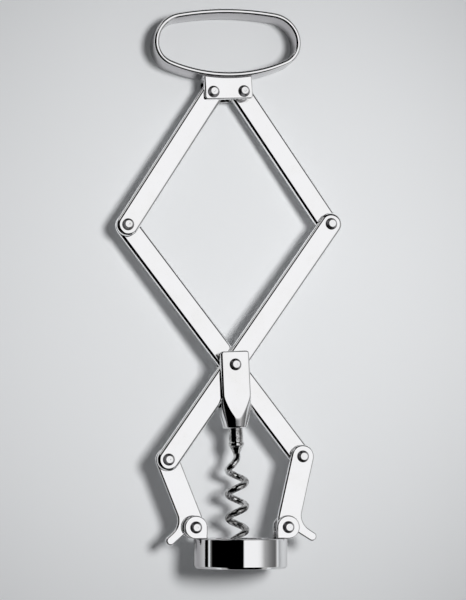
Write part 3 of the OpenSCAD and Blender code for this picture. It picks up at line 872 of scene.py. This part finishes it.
def makeWormTree():
    # Sweeps a wire along a helix that starts on the axis, opens to its full radius and ends in a point
    tree = bpy.data.node_groups.new("wormCoil", "GeometryNodeTree")
    given, result = addTreeSockets(tree, wormSetup)
    take = given.outputs
    line = addNode(tree, "GeometryNodeCurvePrimitiveLine", {"End": (0.0, 1.0, 0.0)})
    fine = addNode(tree, "GeometryNodeResampleCurve", {
        "Curve": line.outputs[0], "Count": wormDetail["points"]})
    factor = addNode(tree, "GeometryNodeSplineParameter").outputs["Factor"]
    swept = mathOf(tree, "MULTIPLY", factor, take["Sweep"])
    angle = mathOf(tree, "RADIANS", mathOf(tree, "ADD", swept, take["First Angle"]))
    settled = rampOf(tree, swept, 0.0, take["Settle"])
    opened = mathOf(tree, "MULTIPLY", settled, take["Coil Radius"])
    x = mathOf(tree, "MULTIPLY", opened, mathOf(tree, "SINE", angle))
    z = mathOf(tree, "MULTIPLY", opened, mathOf(tree, "COSINE", angle))
    fall = mathOf(tree, "DIVIDE", mathOf(tree, "MULTIPLY", swept, take["Pitch"]), 360.0)
    fall = mathOf(tree, "MULTIPLY_ADD", settled, take["Lead"], fall)
    spot = addNode(tree, "ShaderNodeCombineXYZ", {
        0: mathOf(tree, "MULTIPLY", x, -1.0), 1: mathOf(tree, "MULTIPLY", fall, -1.0), 2: z})
    coil = addNode(tree, "GeometryNodeSetPosition", {
        "Geometry": fine.outputs[0], "Position": spot.outputs[0]})
    left = mathOf(tree, "DIVIDE", mathOf(tree, "SUBTRACT", take["Sweep"], swept), take["Point"])
    taper = mathOf(tree, "MINIMUM", mathOf(tree, "SQRT", left), 1.0)
    taper = mathOf(tree, "MAXIMUM", taper, wormDetail["bluntest"])
    rim = addNode(tree, "GeometryNodeCurvePrimitiveCircle", {
        "Resolution": wormDetail["around"], "Radius": take["Wire Radius"]})
    wire = addNode(tree, "GeometryNodeCurveToMesh", {
        "Curve": coil.outputs[0], "Profile Curve": rim.outputs[0], "Scale": taper, "Fill Caps": True})
    smooth = addNode(tree, "GeometryNodeSetShadeSmooth", {"Geometry": wire.outputs[0]})
    real = addNode(tree, "GeometryNodeRealizeInstances", {0: smooth.outputs[0]})
    dressed = addNode(tree, "GeometryNodeSetMaterial", {
        "Geometry": real.outputs[0], "Material": take["Material"]})
    tree.links.new(dressed.outputs[0], result.inputs[0])
    return tree


def makeWorm():
    top = -spindleSetup["drop"] - ferruleSetup["length"] - ferruleSetup["nose"]
    piece = meshFromTree("worm", bpy.data.meshes.new("wormStart"), makeWormTree(), {
        **wormSetup, "Material": materials["wormSteel"]})
    lean = Matrix.Rotation(math.radians(-wormDetail["lean"]), 4, "Z")
    piece.data.transform(toMetres @ spindlePlace @ Matrix.Translation((0.0, top, 0.0)) @ lean)
    finishPiece(piece, None, "spindle", "worm_steel", "worm")


makeSpindleBlock()
makeFerrule()
makeWorm()
print("spindle is in place")


# The handle is an oval band, and a bracket that the links hang from
loopSetup = dict(width=58.2, height=27.0, topRadius=12.0, lowRadius=9.5, band=2.1, edge=0.95, edgeSteps=8,
                 hem=0.04, step=0.8, rise=19.0, shift=0.6, turn=0.8)
bracketSetup = dict(width=19.0, foot=-2.9, crown=4.6, slotHalf=3.25, corner=1.2, cornerStep=10.0,
                    overlap=0.12, edge=0.5, creaseFrom=34)
handleMiddle = (bracketLeft + bracketRight) / 2
handleLean = math.degrees(math.atan2(bracketRight.y - bracketLeft.y, bracketRight.x - bracketLeft.x))
handlePlace = turnAt(handleMiddle, -handleLean)


def ovalLoop(inset=0.0):
    # Arcs that meet smoothly, counter-clockwise from the right-hand end. The upper half is fuller.
    s = loopSetup
    arcs = []
    for r in (s["topRadius"], s["lowRadius"]):
        a, b = s["width"] / 2 - r, s["height"] / 2
        c = (a * a - (b - r) ** 2) / (2 * (b - r))
        turn = math.degrees(math.atan2(c, a))
        arcs += [(a, 0.0, r, 0, turn), (0.0, -c, b + c, turn, 180 - turn), (-a, 0.0, r, 180 - turn, 180)]
    place = Matrix.Rotation(math.radians(-s["turn"]), 2)
    loop = []
    for i, (x, y, radius, start, end) in enumerate(arcs):
        count = max(8, round(math.radians(end - start) * radius / s["step"]))
        half = Matrix.Rotation(math.pi * (i // 3), 2)
        for k in range(count):
            t = math.radians(start + (end - start) * k / count)
            spot = Vector((x + (radius - inset) * math.cos(t), y + (radius - inset) * math.sin(t)))
            loop.append(place @ half @ spot + Vector((s["shift"], s["rise"])))
    return loop


def makeHandleLoop():
    s = loopSetup
    low, high = boxMm("handle_loop")
    inner = list(reversed(ovalLoop(s["band"])))
    bm = bmesh.new()
    roundedSlab(bm, ovalLoop(), [inner], low.z, high.z, s["edge"], s["edgeSteps"], s["hem"], s["edge"])
    piece = pieceOf("handleLoop", bm, handlePlace)
    finishPiece(piece, "loopChrome", "handle", "loop_chrome", "handle_loop")


def makeBracket():
    s = bracketSetup
    low, high = boxMm("bracket")
    half = s["width"] / 2
    # Its top follows the underside of the band and goes a little way into it
    top = sorted((p for p in ovalLoop() if abs(p.x) < half and p.y < loopSetup["rise"]), key=lambda p: -p.x)
    corners = [(-half, s["foot"], s["corner"]), (half, s["foot"], s["corner"])]
    outline = softCorners([*corners, (half, top[0].y, 0.0), (-half, top[-1].y, 0.0)], s["cornerStep"])
    arch = [Vector((half, top[0].y))] + top + [Vector((-half, top[-1].y))]
    outline = outline[:-2] + [p + Vector((0.0, s["overlap"])) for p in arch]
    bm = bmesh.new()
    gap = (bracketRight - bracketLeft).length / 2
    roundedSlab(bm, outline, [circleLoop(x, 0.0, barSetup["fixedHole"]) for x in (-gap, gap)], low.z, high.z,
                s["edge"])
    piece = pieceOf("bracket", bm, Matrix.Identity(4))
    cutAway(piece, slotCutter(s["width"], 2 * s["foot"], s["crown"], s["slotHalf"]))
    piece.data.transform(toMetres @ handlePlace @ toMetres.inverted())
    piece.data.set_sharp_from_angle(angle=math.radians(s["creaseFrom"]))
    finishPiece(piece, "lugChrome", "handle", "lug_chrome", "bracket")


makeHandleLoop()
makeBracket()
print("handle is in place")
